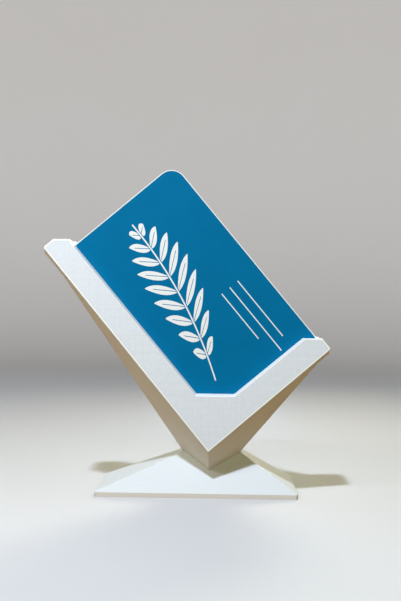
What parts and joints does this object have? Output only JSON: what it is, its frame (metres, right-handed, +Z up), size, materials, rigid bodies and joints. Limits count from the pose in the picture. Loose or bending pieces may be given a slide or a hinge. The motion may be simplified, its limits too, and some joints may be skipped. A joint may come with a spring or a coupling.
{
  "type": "business card holder stand",
  "caption": "Faceted printed desk stand whose low foot narrows to a point and opens into a slanted V pocket with an L-shaped front rail, holding a deck of cards corner down.",
  "frame": {"origin": "middle of the foot's underside, on the table", "axes": "+X to the right seen from the front, +Y to the back, +Z up"},
  "size_m": [0.1088, 0.0423, 0.1248],
  "materials": {
    "printed_plastic": "white layered print, satin to matt",
    "card_stock": "matt laminated card, blue with white cut edges"
  },
  "bodies": {
    "stand": {"foot": "printed_plastic", "pocket_body": "printed_plastic", "front_rail": "printed_plastic"},
    "front_card": {"front_card": "card_stock"},
    "deck": {"deck_card_01": "card_stock", "deck_card_02": "card_stock", "deck_card_03": "card_stock", "deck_card_04": "card_stock", "deck_card_05": "card_stock", "deck_card_06": "card_stock", "deck_card_07": "card_stock", "deck_card_08": "card_stock", "deck_card_09": "card_stock", "deck_card_10": "card_stock", "deck_card_11": "card_stock"}
  },
  "joints": [
    {"name": "front_card_lift", "type": "slide", "parent": "stand", "child": "front_card", "axis": [0, 0, 1], "range_m": [0, 0.08]},
    {"name": "deck_lift", "type": "slide", "parent": "stand", "child": "deck", "axis": [0, 0, 1], "range_m": [0, 0.08]}
  ]
}
